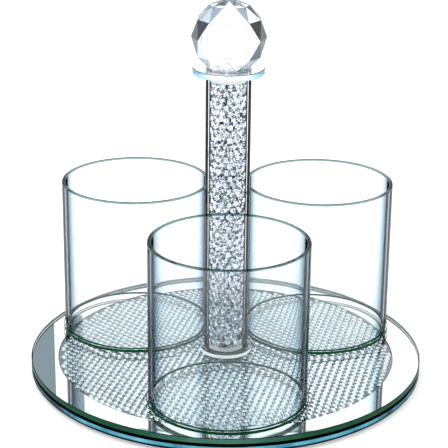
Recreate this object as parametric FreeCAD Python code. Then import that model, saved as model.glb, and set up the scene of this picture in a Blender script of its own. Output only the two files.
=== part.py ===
# Round mirrored vanity stand: three clear glass cups round a crystal-filled glass column with a ball knob.
# Frame: millimetres, +Z up, origin on the table under the centre of the tray.

import FreeCAD, Part
import math
import os

# ---- tray ----
TRAY_R = 130.0            # both glass layers
TOP_GLASS_T = 3.8
LOWER_GLASS_T = 3.9
LAYER_GAP = 1.5           # room for the stones between the two glasses
GLASS_SEAM = 0.35         # ground edge of every flat glass
CRYSTAL_R = 112.0         # edge of the rhinestone sheet, inner edge of the mirror ring
FOIL_T = 0.4              # foil that carries the stones
SILVER_T = 0.2
SILVER_R = TRAY_R - 0.8   # silvering stops short of the ground edge
SPACER_R = TRAY_R - 0.6
BACKING_T = 0.4
FOOT_H = 2.2
FOOT_R = 6.0
FOOT_CIRCLE_R = 105.0
FOOT_COUNT = 4

# ---- cups ----
CUP_R = 50.0
CUP_WALL = 2.5
CUP_RIM_ROUND = 1.1
CUP_DISC_R = 51.1
CUP_DISC_T = 2.0
CUP_TOP = 105.7           # rim above the tray's glass
CUP_CIRCLE_R = 74.8
CUP_ANGLES = {"front": -88.8, "right": 34.3, "left": 145.9}

# ---- column ----
COLUMN_R = 14.6
COLUMN_WALL = 2.3
COLUMN_TOP = 190.6        # top of the tube above the tray's glass
COLUMN_FOOT_R = 17.4
COLUMN_FOOT_T = 3.0
FILL_CLEARANCE = 0.2      # between the stones and the tube
BUSH_T = 2.5
PLUG_T = 4.4
CORE_R = 4.6
CORE_WALL = 1.3
COLLAR_R = 23.1
COLLAR_T = 4.1
COLLAR_ROUND = 0.8

# ---- ball knob ----
BALL_R = 24.0
BALL_SEAT_BELOW = 19.4    # flat seat below the ball's centre
BALL_SIDES = 10
BALL_RING_LATITUDES = (-30.0, 0.0, 30.0, 58.0, 80.0)
INSERT_R = 4.0
INSERT_L = 9.0

# ---- tie rod ----
ROD_R = 3.0
ROD_HOLE_R = 3.3
POCKET_R = 12.0           # hole in the lower glass round the nut
GASKET_T = 0.5
WASHER_R = 9.0
WASHER_T = 1.0
NUT_ACROSS_FLATS = 10.0
NUT_H = 3.0
ROD_BELOW_NUT = 0.4
ROD_IN_INSERT = 7.0

BACKING_Z = FOOT_H
BASE_SILVER_Z = BACKING_Z + BACKING_T
LOWER_Z = BASE_SILVER_Z + SILVER_T
GAP_Z = LOWER_Z + LOWER_GLASS_T
TOP_GLASS_Z = GAP_Z + LAYER_GAP
TRAY_TOP = TOP_GLASS_Z + TOP_GLASS_T
FOIL_Z = GAP_Z
STONES_Z = FOIL_Z + FOIL_T
RING_SILVER_Z = TOP_GLASS_Z - SILVER_T
GASKET_Z = TOP_GLASS_Z - GASKET_T
WASHER_Z = GASKET_Z - WASHER_T
NUT_Z = WASHER_Z - NUT_H
COLUMN_TUBE_Z = TRAY_TOP + COLUMN_FOOT_T
COLUMN_TUBE_TOP = TRAY_TOP + COLUMN_TOP
FILL_Z = COLUMN_TUBE_Z + BUSH_T
FILL_TOP = COLUMN_TUBE_TOP - PLUG_T
COLUMN_BORE_R = COLUMN_R - COLUMN_WALL
FILL_R = COLUMN_BORE_R - FILL_CLEARANCE
COLLAR_TOP = COLUMN_TUBE_TOP + COLLAR_T
BALL_Z = COLLAR_TOP + BALL_SEAT_BELOW


def disc(radius, z, height):
    return Part.makeCylinder(radius, height, FreeCAD.Vector(0, 0, z))


def ring(outer, inner, z, height):
    return disc(outer, z, height).cut(disc(inner, z, height))


def edges_at(shape, radius, z):
    """The full circles of one radius at one height."""
    found = []
    for edge in shape.Edges:
        if not isinstance(edge.Curve, Part.Circle):
            continue
        right_radius = abs(edge.Curve.Radius - radius) < 1e-4
        right_height = abs(edge.Curve.Center.z - z) < 1e-4
        if right_radius and right_height:
            found.append(edge)
    return found


def seamed_disc(radius, z, height, hole=None):
    """A flat glass disc with its two outer edges ground off, and a centre hole if one is given."""
    blank = disc(radius, z, height)
    outer = edges_at(blank, radius, z) + edges_at(blank, radius, z + height)
    glass = blank.makeChamfer(GLASS_SEAM, outer)
    if hole is None:
        return glass
    return glass.cut(disc(hole, z, height))


def polar(radius, angle_deg):
    angle = math.radians(angle_deg)
    return FreeCAD.Vector(radius * math.cos(angle), radius * math.sin(angle), 0)


def bumper_foot(index):
    """A clear stick-on bumper with a rounded lower edge."""
    foot = disc(FOOT_R, 0, FOOT_H)
    foot = foot.makeFillet(FOOT_H * 0.45, edges_at(foot, FOOT_R, 0))
    foot.translate(polar(FOOT_CIRCLE_R, 45 + index * 360 / FOOT_COUNT))
    return foot


def cup_tube():
    """The cup's wall: a cut length of glass tube with a fire-polished rim."""
    bottom = TRAY_TOP + CUP_DISC_T
    top = TRAY_TOP + CUP_TOP
    inner = CUP_R - CUP_WALL
    tube = ring(CUP_R, inner, bottom, top - bottom)
    return tube.makeFillet(CUP_RIM_ROUND, edges_at(tube, CUP_R, top) + edges_at(tube, inner, top))


def cup_disc():
    return seamed_disc(CUP_DISC_R, TRAY_TOP, CUP_DISC_T)


def hex_nut():
    corner = NUT_ACROSS_FLATS / math.sqrt(3)
    points = []
    for step in range(7):
        points.append(polar(corner, step * 60) + FreeCAD.Vector(0, 0, NUT_Z))
    body = Part.Face(Part.makePolygon(points)).extrude(FreeCAD.Vector(0, 0, NUT_H))
    return body.cut(disc(ROD_R, NUT_Z, NUT_H))


def collar():
    """The thick glass disc on top of the column, edges rounded, drilled for the rod."""
    glass = disc(COLLAR_R, COLUMN_TUBE_TOP, COLLAR_T)
    rims = edges_at(glass, COLLAR_R, COLUMN_TUBE_TOP) + edges_at(glass, COLLAR_R, COLLAR_TOP)
    glass = glass.makeFillet(COLLAR_ROUND, rims)
    return glass.cut(disc(ROD_HOLE_R, COLUMN_TUBE_TOP, COLLAR_T))


def ball_ring(height, turn):
    """One ring of the ball's corners, at a height above the ball's centre."""
    radius = math.sqrt(BALL_R ** 2 - height ** 2)
    corners = []
    for side in range(BALL_SIDES):
        corner = polar(radius, (side + turn) * 360 / BALL_SIDES)
        corners.append(corner + FreeCAD.Vector(0, 0, BALL_Z + height))
    return corners


def flat_facet(corners):
    return Part.Face(Part.makePolygon(corners + corners[:1]))


def ball_knob():
    """A solid glass ball cut into triangular facets, with a flat seat, a top table and a blind hole."""
    heights = [-BALL_SEAT_BELOW]
    for latitude in BALL_RING_LATITUDES:
        heights.append(BALL_R * math.sin(math.radians(latitude)))
    rings = []
    for level, height in enumerate(heights):
        rings.append(ball_ring(height, 0.5 * level))
    facets = [flat_facet(rings[0]), flat_facet(rings[-1])]
    for lower, upper in zip(rings[:-1], rings[1:]):
        for side in range(BALL_SIDES):
            after = (side + 1) % BALL_SIDES
            facets.append(flat_facet([lower[side], lower[after], upper[side]]))
            facets.append(flat_facet([upper[side], upper[after], lower[after]]))
    ball = Part.Solid(Part.Shell(facets))
    if ball.Volume < 0:
        ball.reverse()
    return ball.cut(disc(INSERT_R, COLLAR_TOP, INSERT_L))


def tray_parts():
    return {
        "base_backing": disc(SILVER_R, BACKING_Z, BACKING_T),
        "base_mirror": ring(SILVER_R, POCKET_R, BASE_SILVER_Z, SILVER_T),
        "lower_glass": seamed_disc(TRAY_R, LOWER_Z, LOWER_GLASS_T, POCKET_R),
        "spacer_ring": ring(SPACER_R, CRYSTAL_R + 0.3, GAP_Z, LAYER_GAP - SILVER_T),
        "crystal_foil": ring(CRYSTAL_R, POCKET_R, FOIL_Z, FOIL_T),
        "crystal_stones": ring(CRYSTAL_R, POCKET_R, STONES_Z, TOP_GLASS_Z - STONES_Z),
        "mirror_ring": ring(SILVER_R, CRYSTAL_R + 0.3, RING_SILVER_Z, SILVER_T),
        "top_glass": seamed_disc(TRAY_R, TOP_GLASS_Z, TOP_GLASS_T, ROD_HOLE_R),
    }


def rod_parts():
    rod_bottom = NUT_Z - ROD_BELOW_NUT
    rod_top = COLLAR_TOP + ROD_IN_INSERT
    return {
        "pocket_gasket": ring(WASHER_R, ROD_HOLE_R, GASKET_Z, GASKET_T),
        "rod_washer": ring(WASHER_R, ROD_HOLE_R, WASHER_Z, WASHER_T),
        "rod_nut": hex_nut(),
        "tie_rod": disc(ROD_R, rod_bottom, rod_top - rod_bottom),
    }


def column_parts():
    tube_height = COLUMN_TUBE_TOP - COLUMN_TUBE_Z
    return {
        "column_foot": seamed_disc(COLUMN_FOOT_R, TRAY_TOP, COLUMN_FOOT_T, ROD_HOLE_R),
        "column_tube": ring(COLUMN_R, COLUMN_BORE_R, COLUMN_TUBE_Z, tube_height),
        "bottom_bush": ring(FILL_R, ROD_HOLE_R, COLUMN_TUBE_Z, BUSH_T),
        "core_tube": ring(CORE_R, CORE_R - CORE_WALL, FILL_Z, FILL_TOP - FILL_Z),
        "crystal_fill": ring(FILL_R, CORE_R, FILL_Z, FILL_TOP - FILL_Z),
        "top_plug": ring(FILL_R, ROD_HOLE_R, FILL_TOP, PLUG_T),
        "collar": collar(),
        "ball_insert": ring(INSERT_R, ROD_R, COLLAR_TOP, INSERT_L - 0.5),
        "ball_knob": ball_knob(),
    }


def cup_parts():
    parts = {}
    for place, angle in CUP_ANGLES.items():
        for name, shape in (("cup_disc", cup_disc()), ("cup_tube", cup_tube())):
            shape.translate(polar(CUP_CIRCLE_R, angle))
            parts[name + "_" + place] = shape
    return parts


def main():
    os.makedirs("parts", exist_ok=True)
    parts = {}
    for index in range(FOOT_COUNT):
        parts["foot_%d" % (index + 1)] = bumper_foot(index)
    parts.update(tray_parts())
    parts.update(rod_parts())
    parts.update(column_parts())
    parts.update(cup_parts())
    for node, shape in parts.items():
        shape.exportStep("parts/%s.step" % node)
        print(node, "valid" if shape.isValid() else "NOT VALID", round(shape.Volume))


main()
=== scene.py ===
import math
import random

import bmesh
import bpy
from mathutils import Matrix, Vector


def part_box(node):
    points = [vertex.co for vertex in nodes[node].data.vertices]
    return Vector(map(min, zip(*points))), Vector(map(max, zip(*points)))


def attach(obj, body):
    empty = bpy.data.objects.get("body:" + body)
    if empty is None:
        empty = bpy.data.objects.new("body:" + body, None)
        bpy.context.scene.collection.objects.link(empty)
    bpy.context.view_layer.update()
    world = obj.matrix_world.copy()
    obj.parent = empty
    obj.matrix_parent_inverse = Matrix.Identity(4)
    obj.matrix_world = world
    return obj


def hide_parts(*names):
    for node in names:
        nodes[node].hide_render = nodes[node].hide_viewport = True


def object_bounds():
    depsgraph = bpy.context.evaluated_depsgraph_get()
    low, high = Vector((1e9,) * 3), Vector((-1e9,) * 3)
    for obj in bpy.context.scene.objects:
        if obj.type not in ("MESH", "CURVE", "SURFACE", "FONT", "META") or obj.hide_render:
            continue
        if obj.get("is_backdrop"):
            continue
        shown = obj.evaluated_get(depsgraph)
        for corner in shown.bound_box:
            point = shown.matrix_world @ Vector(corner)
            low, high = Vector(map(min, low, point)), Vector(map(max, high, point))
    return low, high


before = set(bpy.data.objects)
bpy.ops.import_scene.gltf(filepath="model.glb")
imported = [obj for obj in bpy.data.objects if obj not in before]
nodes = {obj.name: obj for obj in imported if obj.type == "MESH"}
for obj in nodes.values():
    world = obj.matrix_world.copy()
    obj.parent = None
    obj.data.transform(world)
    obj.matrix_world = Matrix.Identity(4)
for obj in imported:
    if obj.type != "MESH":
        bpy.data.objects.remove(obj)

cad_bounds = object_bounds()

# ---------------------------------------------------------------- camera
# One metre away and well above the knob's height, looking down at the stand through a long lens, with the
# slight pan and roll of a camera that isn't quite level.
LOOK_DOWN = math.radians(19.93)
LOOK_AT_HEIGHT = 0.101
CAMERA_DISTANCE = 1.0127
CAMERA_PAN = math.radians(-0.11)
CAMERA_ROLL = math.radians(0.65)
FOCAL_LENGTH = 124.26
SENSOR_WIDTH = 36.0

camera_data = bpy.data.cameras.new("camera")
camera_data.lens = FOCAL_LENGTH
camera_data.sensor_width = SENSOR_WIDTH
camera_data.clip_start = 0.05
camera = bpy.data.objects.new("camera", camera_data)
bpy.context.scene.collection.objects.link(camera)
tilt = Matrix.Rotation(math.pi / 2 - LOOK_DOWN, 4, "X")
pan = Matrix.Rotation(-CAMERA_PAN, 4, "Y")
roll = Matrix.Rotation(CAMERA_ROLL, 4, "Z")
camera_height = LOOK_AT_HEIGHT + CAMERA_DISTANCE * math.sin(LOOK_DOWN)
camera_place = Vector((0, -CAMERA_DISTANCE * math.cos(LOOK_DOWN), camera_height))
camera.matrix_world = Matrix.Translation(camera_place) @ tilt @ pan @ roll
bpy.context.scene.camera = camera

# ---------------------------------------------------------------- floor and studio light
# A wide sheet of matt white paper in a white room: bright all round at table height, greyer overhead,
# with a grey card behind the stand on the left and an overhead softbox.
FLOOR_RADIUS = 4.0
FLOOR_GAP = 0.0002
FLOOR_PAPER = (0.93, 0.93, 0.93, 1)
FLOOR_GLOW = 0.35
ROOM_WHITE = (1, 1, 1, 1)
ROOM_STRENGTH = 1.35
OVERHEAD_GREY = (0.24, 0.29, 0.33, 1)
OVERHEAD_FROM = 0.70
OVERHEAD_TO = 0.90
CARD_EDGE = math.radians(-6.9)
CARD_END = math.radians(-20)
CARD_LOW = 0.395
CARD_GREY = (0.20, 0.25, 0.28, 1)
SOFTBOX_LENGTH = 1.2
SOFTBOX_WIDTH = 0.9
SOFTBOX_WATTS = 6
SOFTBOX_PLACE = (-0.5, -0.6, 1.5)
SOFTBOX_TILT = (math.radians(22), math.radians(-18), 0)
GLASS_BOUNCES = 40
MIRROR_BOUNCES = 16

bpy.ops.object.select_all(action="DESELECT")
bpy.ops.mesh.primitive_circle_add(
    vertices=96, radius=FLOOR_RADIUS, fill_type="NGON", location=(0, 0, -FLOOR_GAP))
floor = bpy.context.object
floor.name = "floor"
floor_paper = bpy.data.materials.new("floor_paper")
floor_paper.use_nodes = True
floor_shader = floor_paper.node_tree.nodes["Principled BSDF"]
floor_shader.inputs["Base Color"].default_value = FLOOR_PAPER
floor_shader.inputs["Roughness"].default_value = 0.9
floor_shader.inputs["Emission Color"].default_value = ROOM_WHITE
floor_shader.inputs["Emission Strength"].default_value = FLOOR_GLOW
floor.data.materials.append(floor_paper)
floor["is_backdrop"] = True

world = bpy.data.worlds.new("studio")
bpy.context.scene.world = world
world.use_nodes = True
sky = world.node_tree


def sky_math(operation, first, second):
    """One sum, product or comparison of two values, each a number or a node's output."""
    made = sky.nodes.new("ShaderNodeMath")
    made.operation = operation
    for index, value in enumerate((first, second)):
        if isinstance(value, (int, float)):
            made.inputs[index].default_value = value
        else:
            sky.links.new(value, made.inputs[index])
    return made.outputs[0]


direction = sky.nodes.new("ShaderNodeTexCoord").outputs["Generated"]
split = sky.nodes.new("ShaderNodeSeparateXYZ")
sky.links.new(direction, split.inputs[0])
azimuth = sky_math("ARCTAN2", split.outputs["X"], split.outputs["Y"])
overhead = sky.nodes.new("ShaderNodeValToRGB")
overhead.color_ramp.elements[0].position = OVERHEAD_FROM
overhead.color_ramp.elements[0].color = ROOM_WHITE
overhead.color_ramp.elements[1].position = OVERHEAD_TO
overhead.color_ramp.elements[1].color = OVERHEAD_GREY
sky.links.new(split.outputs["Z"], overhead.inputs[0])
right_edge = sky_math("LESS_THAN", azimuth, CARD_EDGE)
left_edge = sky_math("GREATER_THAN", azimuth, CARD_END)
low_edge = sky_math("GREATER_THAN", split.outputs["Z"], CARD_LOW)
card = sky_math("MULTIPLY", sky_math("MULTIPLY", right_edge, left_edge), low_edge)
with_card = sky.nodes.new("ShaderNodeMix")
with_card.data_type = "RGBA"
sky.links.new(card, with_card.inputs["Factor"])
sky.links.new(overhead.outputs[0], with_card.inputs["A"])
with_card.inputs["B"].default_value = CARD_GREY
backdrop = sky.nodes["Background"]
sky.links.new(with_card.outputs["Result"], backdrop.inputs["Color"])
backdrop.inputs["Strength"].default_value = ROOM_STRENGTH

bpy.context.scene.view_settings.view_transform = "Standard"
bpy.context.scene.cycles.max_bounces = GLASS_BOUNCES
bpy.context.scene.cycles.transmission_bounces = GLASS_BOUNCES
bpy.context.scene.cycles.glossy_bounces = MIRROR_BOUNCES

softbox_data = bpy.data.lights.new("softbox", "AREA")
softbox_data.shape = "RECTANGLE"
softbox_data.size = SOFTBOX_LENGTH
softbox_data.size_y = SOFTBOX_WIDTH
softbox_data.energy = SOFTBOX_WATTS
softbox = bpy.data.objects.new("softbox", softbox_data)
softbox.location = SOFTBOX_PLACE
softbox.rotation_euler = SOFTBOX_TILT
bpy.context.scene.collection.objects.link(softbox)

# ---------------------------------------------------------------- cup tubes
# Three open cups, each a cut length of clear glass tube with a fire-polished rim, bonded to the disc below.
# The wall reflects the room a little, and painted shade darkens its colour to blue-black where the eye looks
# along it.
ROUND_SEGMENTS = 192
CUP_GLASS_WALL = 0.0025
RIM_ROUND = 0.0011
HAIR = 0.00002            # gap between glasses that are bonded face to face
LEVEL_FACE = 0.9          # upward part of the normal of a face that lies level
SAME_HEIGHT = 0.000001
SAME_RADIUS = 0.00001
RIM_SHARE = 0.98          # share of the rounding's height that takes the rim's painted shade, dark green to near black
# NEAR_BLACK is the colour of painted shade at the outlines of the glass.
NEAR_BLACK = (0.00004, 0.0001, 0.00012, 1)
CUP_CLEAR = (0.958, 0.975, 0.985, 1)
CUP_SHINE = 0.55          # reflection of the room where the wall faces the eye
CUP_SHINE_FROM = 0.35
CUP_SHINE_TO = 0.58
BOND_GREEN = (0.006, 0.10, 0.05, 1)


def ring_solid(name, centre, inner, outer, low, high, segments=ROUND_SEGMENTS):
    """A plain ring: a circle pulled out flat to its outer radius, then raised to its height."""
    bpy.ops.object.select_all(action="DESELECT")
    bpy.ops.mesh.primitive_circle_add(vertices=segments, radius=inner, location=(centre[0], centre[1], low))
    made = bpy.context.object
    made.name = name
    bpy.ops.object.mode_set(mode="EDIT")
    bpy.ops.mesh.select_mode(type="VERT")
    bpy.ops.mesh.select_all(action="SELECT")
    bpy.ops.mesh.extrude_region_move()
    widen = outer / inner
    bpy.ops.transform.resize(value=(widen, widen, 1), center_override=(centre[0], centre[1], low))
    bpy.ops.mesh.select_all(action="SELECT")
    bpy.ops.mesh.extrude_region_move(TRANSFORM_OT_translate={"value": (0, 0, high - low)})
    bpy.ops.mesh.select_all(action="SELECT")
    bpy.ops.mesh.normals_make_consistent(inside=False)
    bpy.ops.object.mode_set(mode="OBJECT")
    bpy.ops.object.transform_apply(location=True, rotation=True, scale=True)
    return made


def disc_solid(name, centre, radius, low, high, segments=ROUND_SEGMENTS):
    """A plain disc between two heights."""
    bpy.ops.object.select_all(action="DESELECT")
    middle = (centre[0], centre[1], (low + high) / 2)
    bpy.ops.mesh.primitive_cylinder_add(vertices=segments, radius=radius, depth=high - low, location=middle)
    made = bpy.context.object
    made.name = name
    bpy.ops.object.transform_apply(location=True, rotation=True, scale=True)
    return made


def bevel_rims(made, centre, rims, width, steps):
    """Bevels the full circles given as (radius, height)."""
    bpy.ops.object.mode_set(mode="EDIT")
    bpy.ops.mesh.select_mode(type="EDGE")
    bpy.ops.mesh.select_all(action="DESELECT")
    mesh = bmesh.from_edit_mesh(made.data)
    middle = Vector((centre[0], centre[1]))
    for edge in mesh.edges:
        for radius, height in rims:
            edge.select |= all(
                abs(corner.co.z - height) < SAME_HEIGHT
                and abs((corner.co.xy - middle).length - radius) < SAME_RADIUS
                for corner in edge.verts)
    bmesh.update_edit_mesh(made.data)
    bpy.ops.mesh.bevel(offset=width, segments=steps, affect="EDGES", profile=0.5)
    bpy.ops.object.mode_set(mode="OBJECT")


def select_only(made):
    """Leaves one piece selected and active."""
    bpy.ops.object.select_all(action="DESELECT")
    made.select_set(True)
    bpy.context.view_layer.objects.active = made


def smooth(made):
    """Smooths round the circle only: the tall walls keep level normals beside their rounded rims."""
    select_only(made)
    bpy.ops.object.shade_smooth_by_angle(angle=math.radians(6), keep_sharp_edges=True)


def place_piece(made, node):
    """Puts a finished piece on the stand in place of its plain CAD node."""
    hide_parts(node)
    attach(made, "root")


def add_ramp(tree, factor, steps):
    """A colour ramp from a list of (position, colour)."""
    ramp = tree.nodes.new("ShaderNodeValToRGB")
    ramp.color_ramp.elements.remove(ramp.color_ramp.elements[0])
    ramp.color_ramp.elements[0].position = steps[0][0]
    ramp.color_ramp.elements[0].color = steps[0][1]
    for position, color in steps[1:]:
        ramp.color_ramp.elements.new(position).color = color
    tree.links.new(factor, ramp.inputs["Fac"])
    return ramp.outputs["Color"]


def new_material(name, roughness=0.4, metallic=0.0, color=(0.8, 0.8, 0.8, 1)):
    """A material, with its node tree and its shader."""
    made = bpy.data.materials.new(name)
    made.use_nodes = True
    shader = made.node_tree.nodes["Principled BSDF"]
    shader.inputs["Roughness"].default_value = roughness
    shader.inputs["Metallic"].default_value = metallic
    shader.inputs["Base Color"].default_value = color
    return made, made.node_tree, shader


def clear_glass(name, steps, ior=1.5, roughness=0.0, specular=0.3):
    """Clear glass with painted shade: its colour deepens as its surface turns away from the eye, standing in
    for the dark that refraction shows near its outline.
    """
    made, tree, shader = new_material(name, roughness)
    shader.inputs["IOR"].default_value = ior
    shader.inputs["Transmission Weight"].default_value = 1.0
    shader.inputs["Specular IOR Level"].default_value = specular
    facing = tree.nodes.new("ShaderNodeLayerWeight")
    facing.inputs["Blend"].default_value = 0.5
    tree.links.new(add_ramp(tree, facing.outputs["Facing"], steps), shader.inputs["Base Color"])
    return made


# Painted shade: the cup wall's colour runs from clear to near black as it turns from the eye.
cup_glass = clear_glass("cup_wall_glass", [
    (0.0, CUP_CLEAR), (0.34, CUP_CLEAR), (0.51, (0.85, 0.90, 0.93, 1)), (0.60, (0.55, 0.64, 0.70, 1)),
    (0.71, (0.20, 0.27, 0.34, 1)), (0.77, NEAR_BLACK), (1.0, NEAR_BLACK)], ior=1.06)
tree = cup_glass.node_tree
shine = tree.nodes.new("ShaderNodeMapRange")
shine.inputs["From Min"].default_value = CUP_SHINE_FROM
shine.inputs["From Max"].default_value = CUP_SHINE_TO
shine.inputs["To Min"].default_value = CUP_SHINE
shine.inputs["To Max"].default_value = 0.0
tree.links.new(tree.nodes["Layer Weight"].outputs["Facing"], shine.inputs["Value"])
tree.links.new(shine.outputs["Result"], tree.nodes["Principled BSDF"].inputs["Coat Weight"])
tree.nodes["Principled BSDF"].inputs["Coat Roughness"].default_value = 0.0
# The rim: the green of glass seen through its thickness, deepened to near black by painted shade as it turns
# from the eye.
rim_glass = clear_glass("rim_glass", [
    (0.0, (0.08, 0.16, 0.15, 1)), (1.0, (0.0004, 0.002, 0.0016, 1))], ior=1.1)
bond, tree, shader = new_material("clear_bond", 0.6, 0.0, BOND_GREEN)
shader.inputs["Specular IOR Level"].default_value = 0.0

PLACES = ("front", "right", "left")
for place in PLACES:
    low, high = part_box("cup_tube_" + place)
    centre = ((low.x + high.x) / 2, (low.y + high.y) / 2)
    outer = (high.x - low.x) / 2
    inner = outer - CUP_GLASS_WALL
    cup = ring_solid("cup_wall_" + place, centre, inner, outer, low.z + HAIR, high.z)
    bevel_rims(cup, centre, [(inner, high.z), (outer, high.z)], RIM_ROUND, 4)
    smooth(cup)
    for material in (cup_glass, rim_glass, bond):
        cup.data.materials.append(material)
    rim_start = high.z - RIM_ROUND * RIM_SHARE
    for polygon in cup.data.polygons:
        if polygon.center.z > rim_start:
            polygon.material_index = 1
        if polygon.normal.z < -LEVEL_FACE:
            polygon.material_index = 2
    place_piece(cup, "cup_tube_" + place)

# ---------------------------------------------------------------- flat glass discs
# Cut discs of green float glass: tray top, tray bottom, one under each cup and one under the column. Faces
# are clear, the ground edge is green because light runs far through the glass before it comes out.
GROUND_EDGE = 0.00035
DISC_SEGMENTS = 256
ROD_HOLE = 0.0033
POCKET = 0.012
NEAR_EDGE = 0.9           # share of the radius past which a face belongs to the edge
INSIDE_PAINTED_LIGHT = (0.50, 0.66, 0.68, 1)
SEAM_PAINTED_SHADE = (0.0015, 0.004, 0.003, 1)
EDGE_ROUGHNESS = 0.35
EDGE_SPECULAR = 0.04
STREAK_SCALE = 70.0
DARK_FOOT_FROM = 0.0006
DARK_FOOT_TO = 0.0014
# Painted glow: pale emission on the column foot's edge, though it is no lamp.
PALE_GLOW = (0.85, 0.95, 0.92, 1)
PALE_GLOW_STRENGTH = 0.4


def edge_of_glass(name, steps, front_share, streak_share, front_from=-0.3, front_to=-1.0, foot=None):
    """The ground edge of a flat glass: its tone runs round from side to front as painted light and shade,
    broken by faint streaks, partly the edge's own unevenness and partly painted glints. It goes dark at its
    foot if a height is given, and takes a pale painted light where it is seen from inside the glass."""
    made, tree, shader = new_material(name, EDGE_ROUGHNESS)
    shader.inputs["Specular IOR Level"].default_value = EDGE_SPECULAR
    where = tree.nodes.new("ShaderNodeTexCoord").outputs["Object"]
    outward = tree.nodes.new("ShaderNodeVectorMath")
    outward.operation = "NORMALIZE"
    tree.links.new(where, outward.inputs[0])
    apart = tree.nodes.new("ShaderNodeSeparateXYZ")
    tree.links.new(outward.outputs[0], apart.inputs[0])
    # Painted light and shade: the tone shifts towards the front of the stand.
    frontness = tree.nodes.new("ShaderNodeMapRange")
    frontness.inputs["From Min"].default_value = front_from
    frontness.inputs["From Max"].default_value = front_to
    frontness.inputs["To Max"].default_value = front_share
    tree.links.new(apart.outputs["Y"], frontness.inputs["Value"])
    streaks = tree.nodes.new("ShaderNodeTexNoise")
    streaks.inputs["Scale"].default_value = STREAK_SCALE
    streaks.inputs["Detail"].default_value = 4.0
    tree.links.new(where, streaks.inputs["Vector"])
    total = tree.nodes.new("ShaderNodeMath")
    total.operation = "MULTIPLY_ADD"
    total.use_clamp = True
    total.inputs[1].default_value = streak_share
    tree.links.new(streaks.outputs["Fac"], total.inputs[0])
    tree.links.new(frontness.outputs["Result"], total.inputs[2])
    tone = total.outputs[0]
    if foot is not None:
        level = tree.nodes.new("ShaderNodeSeparateXYZ")
        tree.links.new(where, level.inputs[0])
        above = tree.nodes.new("ShaderNodeMapRange")
        above.inputs["From Min"].default_value = foot + DARK_FOOT_FROM
        above.inputs["From Max"].default_value = foot + DARK_FOOT_TO
        tree.links.new(level.outputs["Z"], above.inputs["Value"])
        dimmed = tree.nodes.new("ShaderNodeMath")
        dimmed.operation = "MULTIPLY"
        tree.links.new(tone, dimmed.inputs[0])
        tree.links.new(above.outputs["Result"], dimmed.inputs[1])
        tone = dimmed.outputs[0]
    # Painted light: where the edge is seen from inside the glass it takes a pale colour.
    seen_from = tree.nodes.new("ShaderNodeMix")
    seen_from.data_type = "RGBA"
    geometry = tree.nodes.new("ShaderNodeNewGeometry")
    tree.links.new(geometry.outputs["Backfacing"], seen_from.inputs["Factor"])
    tree.links.new(add_ramp(tree, tone, steps), seen_from.inputs["A"])
    seen_from.inputs["B"].default_value = INSIDE_PAINTED_LIGHT
    tree.links.new(seen_from.outputs["Result"], shader.inputs["Base Color"])
    return made


def flat_glass(node, name, face, edge, line, hole=None, low_gap=HAIR, high_gap=0.0):
    """A disc with two ground edges: clear faces, a coloured edge, and a third colour on the chamfers, which
    on the tray's glasses is near-black painted shade.
    """
    low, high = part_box(node)
    centre = ((low.x + high.x) / 2, (low.y + high.y) / 2)
    radius = (high.x - low.x) / 2
    bottom = low.z + low_gap
    top = high.z - high_gap
    if hole is None:
        made = disc_solid(name, centre, radius, bottom, top, DISC_SEGMENTS)
    else:
        made = ring_solid(name, centre, hole, radius, bottom, top, DISC_SEGMENTS)
    bevel_rims(made, centre, [(radius, bottom), (radius, top)], GROUND_EDGE, 1)
    for material in (face, edge, line):
        made.data.materials.append(material)
    middle = Vector(centre)
    for polygon in made.data.polygons:
        at_edge = (polygon.center.xy - middle).length > radius * NEAR_EDGE
        upright = abs(polygon.normal.z) < 1 - LEVEL_FACE
        if at_edge and abs(polygon.normal.z) < LEVEL_FACE:
            polygon.material_index = 1 if upright else 2
    smooth(made)
    place_piece(made, node)


tray_face = clear_glass("tray_face", [
    (0.0, (0.985, 0.996, 0.993, 1)), (1.0, (0.96, 0.99, 0.985, 1))], ior=1.2)
# Painted shade: the tray glasses' chamfers are near black, standing in for the dark line of shade along the
# tray's edges.
edge_line, tree, shader = new_material("edge_line", 0.6, 0.0, SEAM_PAINTED_SHADE)
shader.inputs["Specular IOR Level"].default_value = 0.0
# The top glass's edge: the glass's own green, made lighter towards the front with painted light.
tray_edge = edge_of_glass("tray_edge", [
    (0.0, (0.004, 0.040, 0.018, 1)), (0.4, (0.012, 0.072, 0.038, 1)), (1.0, (0.07, 0.19, 0.14, 1))],
    0.5, 0.5, front_from=-0.90)
flat_glass("top_glass", "tray_top", tray_face, tray_edge, edge_line, ROD_HOLE, 2 * HAIR)
# The lower glass's edge: navy to pale blue, a painted reflection broken by painted glints, darker at its
# foot.
lower_edge = edge_of_glass("lower_edge", [
    (0.0, (0.001, 0.006, 0.010, 1)), (0.28, (0.003, 0.020, 0.030, 1)), (0.42, (0.012, 0.075, 0.11, 1)),
    (0.62, (0.075, 0.30, 0.40, 1)), (1.0, (0.20, 0.52, 0.66, 1))],
    0.24, 0.84, front_from=-0.50, front_to=-0.80, foot=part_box("lower_glass")[0].z)
flat_glass("lower_glass", "tray_bottom", tray_face, lower_edge, edge_line, POCKET, HAIR, HAIR)
# The small discs' edges: the glass's own green, made darker towards the front with painted shade.
disc_edge = edge_of_glass("disc_edge", [
    (0.0, (0.012, 0.11, 0.05, 1)), (0.6, (0.002, 0.055, 0.018, 1)), (1.0, (0.001, 0.035, 0.012, 1))],
    0.5, 0.5)
for place in PLACES:
    flat_glass("cup_disc_" + place, "cup_base_" + place, tray_face, disc_edge, disc_edge)
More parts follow.
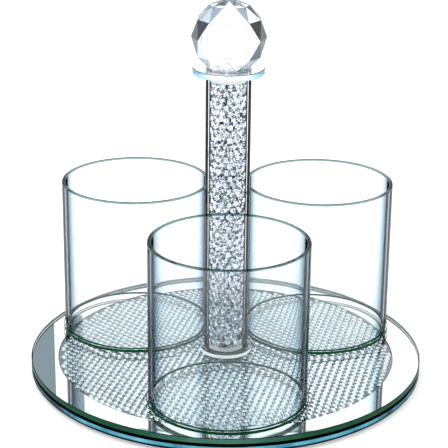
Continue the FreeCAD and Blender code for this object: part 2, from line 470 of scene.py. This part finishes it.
# The column foot's edge: a pale painted highlight that glows with emission, though it is no lamp.
pale_painted_edge = edge_of_glass("pale_painted_edge", [
    (0.0, (0.55, 0.70, 0.64, 1)), (1.0, (0.95, 0.98, 0.96, 1))], 0.6, 0.6)
shader = pale_painted_edge.node_tree.nodes["Principled BSDF"]
shader.inputs["Emission Color"].default_value = PALE_GLOW
shader.inputs["Emission Strength"].default_value = PALE_GLOW_STRENGTH
flat_glass("column_foot", "column_base", tray_face, pale_painted_edge, disc_edge, ROD_HOLE, HAIR, HAIR)

# ---------------------------------------------------------------- mirror, spacer and backing
# The rim of the top glass is silvered from below, the bottom glass is silvered all over and backed with dark
# film, and a black spacer ring holds the two glasses apart round the stones.
SILVER = (0.95, 0.965, 0.975, 1)
SPACER_BLACK = (0.001, 0.0015, 0.0015, 1)
FOIL_GREY = (0.10, 0.15, 0.19, 1)


def dress(names, material):
    """Gives CAD nodes that keep their shape a finish of their own."""
    for name in names:
        slots = nodes[name].data.materials
        for index in range(len(slots)):
            slots[index] = material
        if not len(slots):
            slots.append(material)


dress(["mirror_ring", "base_mirror"], new_material("silver", 0.0, 1.0, SILVER)[0])
black, tree, shader = new_material("black_spacer", 0.6, 0.0, SPACER_BLACK)
shader.inputs["Specular IOR Level"].default_value = 0.0
dress(["spacer_ring", "base_backing"], black)
dress(["crystal_foil"], new_material("stone_foil", 0.25, 1.0, FOIL_GREY)[0])

# ---------------------------------------------------------------- rhinestone sheet
# Small cut crystal stones with foiled backs, a little narrower across their rows, set close together on a
# round sheet of foil that lies in the gap between the tray's two glasses.
STONE_PITCH = 0.00515
STONE_ROW_TURN = math.radians(-43)
NEXT_ROW_TURN = STONE_ROW_TURN + math.radians(60)
STONE_SIDES = 8
STONE_R = 0.00264
STONE_SQUASH = 0.84
STONE_GAP = 0.00006       # between the tables and the glass above them
TABLE_ALONG = 0.56        # the table's share of the stone's width, along and across the row
TABLE_ACROSS = 0.50
SHEET_MARGIN = 0.0015
# Painted highlight and shade: each facet's brightness, put into the stones' colour.
TABLE_SHINE = (0.75, 1.0)
CROWN_SHINE = 0.08
CROWN_ALONG_ROW = 0.50
CROWN_CHANCE = (-0.08, 0.15)
random.seed(7)


def cut_stone(name, radius, height, table_along, table_across, star=None):
    """One flat-backed stone: a straight-sided girdle, a slanting crown and a flat table turned half a side.
    With a star, the table shows a ring of small facets round a middle of that share of its width."""
    bpy.ops.object.select_all(action="DESELECT")
    bpy.ops.mesh.primitive_circle_add(
        vertices=STONE_SIDES, radius=radius, fill_type="NGON", location=(0, 0, 0))
    made = bpy.context.object
    made.name = name
    bpy.ops.object.mode_set(mode="EDIT")
    bpy.ops.mesh.select_mode(type="FACE")
    bpy.ops.mesh.select_all(action="SELECT")
    bpy.ops.mesh.extrude_region_move(TRANSFORM_OT_translate={"value": (0, 0, height)})
    bpy.ops.transform.rotate(value=math.pi / STONE_SIDES, orient_axis="Z", center_override=(0, 0, height))
    bpy.ops.transform.resize(value=(table_along, table_across, 1), center_override=(0, 0, height))
    if star is not None:
        bpy.ops.mesh.extrude_region_move()
        bpy.ops.transform.resize(value=(star, star, 1), center_override=(0, 0, height))
    bpy.ops.mesh.select_all(action="SELECT")
    bpy.ops.mesh.quads_convert_to_tris(quad_method="SHORTEST_DIAGONAL")
    bpy.ops.mesh.select_all(action="SELECT")
    bpy.ops.mesh.normals_make_consistent(inside=False)
    bpy.ops.object.mode_set(mode="OBJECT")
    return made


def repeat(made, count, offset):
    """A straight row of copies, applied."""
    row = made.modifiers.new("row", "ARRAY")
    row.use_relative_offset = False
    row.use_constant_offset = True
    row.constant_offset_displace = offset
    row.count = count
    bpy.context.view_layer.objects.active = made
    bpy.ops.object.modifier_apply(modifier="row")


def islands(mesh):
    """The separate stones of a mesh, each as its list of corners."""
    seen = set()
    for start in mesh.verts:
        if start in seen:
            continue
        seen.add(start)
        stone = [start]
        for corner in stone:
            for edge in corner.link_edges:
                other = edge.other_vert(corner)
                if other not in seen:
                    seen.add(other)
                    stone.append(other)
        yield stone


def mark_facets(made, brightness):
    """Paints each facet its own brightness, painted highlight and shade for the light each facet catches. The
    facets are taken in order of their place, to a hundredth of a millimetre, which is the same in every run."""
    facets = made.data.attributes.new("facet", "FLOAT", "FACE")
    in_order = sorted(made.data.polygons, key=lambda polygon: [round(value, 5) for value in polygon.center])
    for polygon in in_order:
        facets.data[polygon.index].value = brightness(polygon)


def sheet_facet(polygon):
    """Painted highlight and shade: tables are painted bright, and a crown facet that looks along its row is
    painted brighter than one that looks across it.
    """
    if polygon.normal.z > LEVEL_FACE:
        return random.uniform(*TABLE_SHINE)
    row = Vector((math.cos(STONE_ROW_TURN), math.sin(STONE_ROW_TURN)))
    along = polygon.normal.xy.normalized().dot(row)
    return CROWN_SHINE + CROWN_ALONG_ROW * along * along + random.uniform(*CROWN_CHANCE)


def stone_metal(name, roughness, steps):
    """Foiled crystal, taken as a mirror whose colour carries each facet's painted highlight and shade."""
    made, tree, shader = new_material(name, roughness, 1.0)
    facet = tree.nodes.new("ShaderNodeAttribute")
    facet.attribute_name = "facet"
    tree.links.new(add_ramp(tree, facet.outputs["Fac"], steps), shader.inputs["Base Color"])
    return made


low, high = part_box("crystal_stones")
sheet_r = (high.x - low.x) / 2
stone_h = high.z - low.z - STONE_GAP
sheet = cut_stone("crystal_sheet", STONE_R, stone_h, TABLE_ALONG, TABLE_ACROSS)
sheet.scale.y = STONE_SQUASH
sheet.rotation_euler.z = STONE_ROW_TURN
bpy.ops.object.transform_apply(location=True, rotation=True, scale=True)
step_a = Vector((STONE_PITCH * math.cos(STONE_ROW_TURN), STONE_PITCH * math.sin(STONE_ROW_TURN), 0))
step_b = Vector((STONE_PITCH * math.cos(NEXT_ROW_TURN), STONE_PITCH * math.sin(NEXT_ROW_TURN), 0))
row_apart = STONE_PITCH * math.sin(NEXT_ROW_TURN - STONE_ROW_TURN)
reach = int(2 * sheet_r / row_apart) + 2
repeat(sheet, reach, step_a)
repeat(sheet, reach, step_b)
select_only(sheet)
sheet.location = -(step_a + step_b) * (reach - 1) / 2 + Vector((0, 0, low.z))
bpy.ops.object.transform_apply(location=True, rotation=True, scale=True)
bpy.ops.object.mode_set(mode="EDIT")
bpy.ops.mesh.select_mode(type="VERT")
bpy.ops.mesh.select_all(action="DESELECT")
mesh = bmesh.from_edit_mesh(sheet.data)
for stone in islands(mesh):
    centre = sum((corner.co for corner in stone), Vector()) / len(stone)
    away = centre.xy.length
    if away > sheet_r - SHEET_MARGIN or away < POCKET:
        for corner in stone:
            corner.select = True
bmesh.update_edit_mesh(sheet.data)
bpy.ops.mesh.delete(type="VERT")
bpy.ops.object.mode_set(mode="OBJECT")
mark_facets(sheet, sheet_facet)

sheet.data.materials.append(stone_metal("sheet_stone", 0.12, [
    (0.0, (0.03, 0.06, 0.08, 1)), (0.15, (0.38, 0.46, 0.51, 1)), (0.50, (0.68, 0.77, 0.81, 1)),
    (0.75, (0.90, 0.95, 0.97, 1)), (0.9, (1.0, 1.0, 1.0, 1))]))
place_piece(sheet, "crystal_stones")

# ---------------------------------------------------------------- column
# A clear glass tube round a sleeve of cut stones set in staggered rows. A clear bush and plug close its ends,
# and a dark metal core tube runs up its middle round the rod. Painted shade makes the wall black where the
# eye looks along it.
COLUMN_WALL = 0.0023
COLUMN_STONE_PITCH = 0.00507
COLUMN_STONE_R = COLUMN_STONE_PITCH * 0.57  # a little over half, so that neighbours meet
COLUMN_STONE_HEIGHT = 0.0011
COLUMN_TABLE = 0.66
COLUMN_STAR = 0.5
CLEAR = (0.985, 0.995, 0.998, 1)
CORE_GREY = (0.03, 0.03, 0.04, 1)
PLUG_CLEAR = (0.96, 0.97, 0.98, 1)

low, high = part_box("column_tube")
column_r = (high.x - low.x) / 2
# Painted shade: the wall goes near black where it turns from the eye, and greyer at its very outline.
column_glass = clear_glass("column_wall_glass", [
    (0.0, CLEAR), (0.50, CLEAR), (0.535, NEAR_BLACK), (0.68, NEAR_BLACK), (0.74, (0.16, 0.20, 0.23, 1)),
    (1.0, (0.30, 0.36, 0.40, 1))], ior=1.06)
column = ring_solid("column_wall", (0, 0), column_r - COLUMN_WALL, column_r, low.z, high.z - HAIR)
smooth(column)
column.data.materials.append(column_glass)
column.data.materials.append(bond)
for polygon in column.data.polygons:
    if abs(polygon.normal.z) > LEVEL_FACE:
        polygon.material_index = 1
place_piece(column, "column_tube")

low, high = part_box("crystal_fill")
fill_r = (high.x - low.x) / 2
around = round(2 * math.pi * fill_r / COLUMN_STONE_PITCH)
row_pairs = round((high.z - low.z) / (COLUMN_STONE_PITCH * math.sqrt(3)))
row_rise = (high.z - low.z) / row_pairs / 2
fill = cut_stone(
    "crystal_sleeve", COLUMN_STONE_R, COLUMN_STONE_HEIGHT, COLUMN_TABLE, COLUMN_TABLE, COLUMN_STAR)
select_only(fill)
fill.rotation_euler = (0, math.pi / 2, 0)
fill.location = (fill_r - COLUMN_STONE_HEIGHT, 0, low.z + row_rise / 2)
bpy.ops.object.transform_apply(location=True, rotation=True, scale=True)
bpy.ops.object.mode_set(mode="EDIT")
bpy.ops.mesh.select_mode(type="VERT")
bpy.ops.mesh.select_all(action="SELECT")
one_stone = 2 * math.pi / around
bpy.ops.mesh.spin(
    steps=around - 1, dupli=True, angle=one_stone * (around - 1), use_auto_merge=False,
    center=(0, 0, 0), axis=(0, 0, 1))
bpy.ops.mesh.select_all(action="SELECT")
bpy.ops.mesh.duplicate_move(TRANSFORM_OT_translate={"value": (0, 0, row_rise)})
bpy.ops.transform.rotate(value=one_stone / 2, orient_axis="Z", center_override=(0, 0, 0))
bpy.ops.object.mode_set(mode="OBJECT")
repeat(fill, row_pairs, (0, 0, 2 * row_rise))
# Painted highlight and shade: a random brightness for each facet of the sleeve's stones.
mark_facets(fill, lambda polygon: random.random())
fill.data.materials.append(stone_metal("sleeve_stone", 0.15, [
    (0.0, (0.01, 0.01, 0.02, 1)), (0.12, (0.08, 0.09, 0.12, 1)), (0.25, (0.40, 0.44, 0.50, 1)),
    (0.50, (0.62, 0.68, 0.74, 1)), (0.75, (0.78, 0.84, 0.89, 1)), (0.9, (1.0, 1.0, 1.0, 1))]))
place_piece(fill, "crystal_fill")
dress(["core_tube"], new_material("core_metal", 0.4, 1.0, CORE_GREY)[0])
dress(["top_plug", "bottom_bush"], new_material("clear_plug", 0.2, 0.0, PLUG_CLEAR)[0])

# ---------------------------------------------------------------- collar
# A thick clear glass disc with rounded edges, held between the ball and the tube by the rod. It spreads the
# ball's weight over the tube's wall, and painted light and shade colour its side blue, deepening as it turns
# from the eye.
COLLAR_ROUND = 0.0008
UNDERSIDE_TURN = 0.3      # upward part of the normal below which the side takes the blue painted light and shade

low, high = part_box("collar")
collar_r = (high.x - low.x) / 2
collar_face = clear_glass("collar_face", [
    (0.0, (0.98, 0.995, 1.0, 1)), (1.0, (0.90, 0.97, 1.0, 1))], ior=1.3)
# Painted light and shade: the side runs from clear to blue and blue-black as it turns from the eye, and the
# rounded top edge is painted near black.
collar_side = clear_glass("collar_side", [
    (0.0, (0.97, 0.99, 1.0, 1)), (0.10, (0.90, 0.96, 1.0, 1)), (0.22, (0.45, 0.72, 0.88, 1)),
    (0.55, (0.16, 0.46, 0.66, 1)), (1.0, (0.02, 0.10, 0.14, 1))], ior=1.3)
collar_round = clear_glass("collar_round", [
    (0.0, (0.05, 0.12, 0.17, 1)), (0.4, (0.01, 0.03, 0.05, 1)), (1.0, (0.001, 0.006, 0.01, 1))], ior=1.15)
collar = ring_solid("collar_disc", (0, 0), ROD_HOLE, collar_r, low.z + HAIR, high.z - HAIR)
bevel_rims(collar, (0, 0), [(collar_r, low.z + HAIR), (collar_r, high.z - HAIR)], COLLAR_ROUND, 4)
smooth(collar)
for material in (collar_face, collar_side, collar_round):
    collar.data.materials.append(material)
for polygon in collar.data.polygons:
    if polygon.center.xy.length > collar_r * NEAR_EDGE and abs(polygon.normal.z) < LEVEL_FACE:
        polygon.material_index = 1 if polygon.normal.z < UNDERSIDE_TURN else 2
place_piece(collar, "collar")

# ---------------------------------------------------------------- ball knob
# A solid ball of crystal glass, ground with rings of flat triangular facets and a flat seat, drilled from
# below for the threaded insert. Painted shade makes the edges between facets thin dark lines and turns facets
# that face away from the eye blue-black, some sooner than others.
BALL_R = 0.024
BALL_CENTRE_ABOVE_SEAT = 0.0194
BALL_SIDES = 10
BALL_LATITUDES = (-30, 0, 30, 58, 80)
INSERT_R = 0.004
INSERT_DEEP = 0.009
BORE_BELOW_SEAT = 0.001
BORE_SEGMENTS = 32
FACET_LINE = 0.00012
LINE_AREA = 0.000003      # largest face that belongs to a line between facets
BALL_IOR = 1.42
BALL_SPECULAR = 0.05
BALL_CLEAR = (0.99, 0.995, 1.0, 1)
# Zones of facets, by height from the ball's centre as a share of its radius, and the painted shade that may
# be added to how far each facet in them seems turned away.
SEAT_ZONE = -0.55
SEAT_SHADES = (-0.20, -0.12, -0.04, 0.04)
LOWER_ZONE = -0.1
LOWER_SHADES = (-0.02, 0.06, 0.12, 0.17)
CROWN_ZONE = 0.45
CROWN_SHADES = (0.0, 0.08, 0.20, 0.36)
TOP_ZONE = 0.8
TOP_SHADES = (-0.15, -0.10, -0.04)
FLASHES_ROUND = 6
FLASH_STRENGTH = 0.50
FLASH_HEIGHT = 0.25
FLASH_FADE = 0.7
FLASH_FROM_MIDDLE = 0.5   # sideways part of a facet's direction below which front and back stay clear
GIRDLE_CHANCE = 0.1

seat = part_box("ball_knob")[0].z + HAIR
ball_middle = seat + BALL_CENTRE_ABOVE_SEAT
ring_r = math.sqrt(BALL_R ** 2 - BALL_CENTRE_ABOVE_SEAT ** 2)
half_side = math.pi / BALL_SIDES
bpy.ops.object.select_all(action="DESELECT")
bpy.ops.mesh.primitive_circle_add(
    vertices=BALL_SIDES, radius=ring_r, fill_type="NGON", location=(0, 0, seat), rotation=(0, 0, math.pi / 2))
ball = bpy.context.object
ball.name = "crystal_ball"
bpy.ops.object.transform_apply(location=True, rotation=True, scale=True)
bpy.ops.object.mode_set(mode="EDIT")
bpy.ops.mesh.select_mode(type="FACE")
bpy.ops.mesh.select_all(action="SELECT")
height = seat
for latitude in BALL_LATITUDES:
    angle = math.radians(latitude)
    next_height = ball_middle + BALL_R * math.sin(angle)
    bpy.ops.mesh.extrude_region_move(TRANSFORM_OT_translate={"value": (0, 0, next_height - height)})
    width = BALL_R * math.cos(angle) / ring_r
    bpy.ops.transform.resize(value=(width, width, 1), center_override=(0, 0, next_height))
    bpy.ops.transform.rotate(value=half_side, orient_axis="Z", center_override=(0, 0, next_height))
    height = next_height
    ring_r = BALL_R * math.cos(angle)
bpy.ops.mesh.select_all(action="SELECT")
bpy.ops.mesh.quads_convert_to_tris(quad_method="SHORTEST_DIAGONAL")
bpy.ops.mesh.select_all(action="SELECT")
bpy.ops.mesh.normals_make_consistent(inside=False)
bpy.ops.mesh.select_mode(type="EDGE")
bpy.ops.mesh.select_all(action="SELECT")
bpy.ops.mesh.bevel(offset=FACET_LINE, segments=1, affect="EDGES")
bpy.ops.object.mode_set(mode="OBJECT")
bore = disc_solid("ball_bore", (0, 0), INSERT_R, seat - BORE_BELOW_SEAT, seat + INSERT_DEEP, BORE_SEGMENTS)
cut = ball.modifiers.new("bore", "BOOLEAN")
cut.operation = "DIFFERENCE"
cut.solver = "EXACT"
cut.object = bore
select_only(ball)
bpy.ops.object.modifier_apply(modifier="bore")
bpy.data.objects.remove(bore)


def ball_facet(polygon):
    """Bright and dark painted flashes round the ball's girdle, and less even painted shade on the facets
    above and below them.
    """
    turn = math.atan2(polygon.center.x, -polygon.center.y)
    rise = (polygon.center.z - ball_middle) / BALL_R
    if rise < SEAT_ZONE:
        return random.choice(SEAT_SHADES)
    if rise < LOWER_ZONE:
        return random.choice(LOWER_SHADES)
    if rise > TOP_ZONE:
        return random.choice(TOP_SHADES)
    if rise > CROWN_ZONE:
        return random.choice(CROWN_SHADES)
    flash = 0
    if abs(math.sin(turn)) >= FLASH_FROM_MIDDLE:
        fade = max(0, 1 - abs(rise - FLASH_HEIGHT) / FLASH_FADE)
        flash = max(0, math.cos(FLASHES_ROUND * turn)) * fade
    return FLASH_STRENGTH * flash + random.uniform(0, GIRDLE_CHANCE)


random.seed(5)
mark_facets(ball, ball_facet)

ball_glass, tree, shader = new_material("ball_crystal", 0.0)
shader.inputs["IOR"].default_value = BALL_IOR
shader.inputs["Specular IOR Level"].default_value = BALL_SPECULAR
shader.inputs["Transmission Weight"].default_value = 1.0
facing = tree.nodes.new("ShaderNodeLayerWeight")
facing.inputs["Blend"].default_value = 0.5
facet = tree.nodes.new("ShaderNodeAttribute")
facet.attribute_name = "facet"
uneven = tree.nodes.new("ShaderNodeMath")
uneven.operation = "ADD"
tree.links.new(facing.outputs["Facing"], uneven.inputs[0])
tree.links.new(facet.outputs["Fac"], uneven.inputs[1])
# Painted shade: the ball's colour goes blue-black as facets turn from the eye, sooner where a facet's painted
# flash adds to it.
ball_tone = add_ramp(tree, uneven.outputs[0], [
    (0.0, BALL_CLEAR), (0.48, BALL_CLEAR), (0.51, (0.74, 0.88, 0.96, 1)), (0.62, (0.36, 0.56, 0.72, 1)),
    (0.64, (0.14, 0.19, 0.24, 1)), (0.70, (0.02, 0.05, 0.10, 1)), (0.73, (0.0003, 0.001, 0.004, 1)),
    (0.84, NEAR_BLACK)])
tree.links.new(ball_tone, shader.inputs["Base Color"])
# Painted shade: the thin faces between facets are dark lines.
facet_line = clear_glass("facet_line", [
    (0.0, (0.06, 0.11, 0.15, 1)), (1.0, (0.01, 0.03, 0.06, 1))], ior=BALL_IOR)
ball.data.materials.append(ball_glass)
ball.data.materials.append(facet_line)
for polygon in ball.data.polygons:
    if polygon.area < LINE_AREA:
        polygon.material_index = 1
place_piece(ball, "ball_knob")

# ---------------------------------------------------------------- rod and feet
# The steel rod that ties the ball, column and tray together, with its nut, washer and rubber gasket in the
# pocket below and its plated brass insert in the ball, and the clear rubber bumpers under the tray.
ROD_STEEL = (0.90, 0.91, 0.92, 1)
INSERT_NICKEL = (0.95, 0.96, 0.97, 1)
RUBBER_CLEAR = (0.85, 0.88, 0.90, 1)
FOOT_COUNT = 4

feet = ["foot_%d" % number for number in range(1, FOOT_COUNT + 1)]
dress(["tie_rod", "rod_nut", "rod_washer"], new_material("rod_steel", 0.15, 1.0, ROD_STEEL)[0])
dress(["ball_insert"], new_material("nickelled_brass", 0.08, 1.0, INSERT_NICKEL)[0])
dress(["pocket_gasket"] + feet, new_material("clear_rubber", 0.35, 0.0, RUBBER_CLEAR)[0])

[[list(corner) for corner in box] for box in (cad_bounds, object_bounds())]
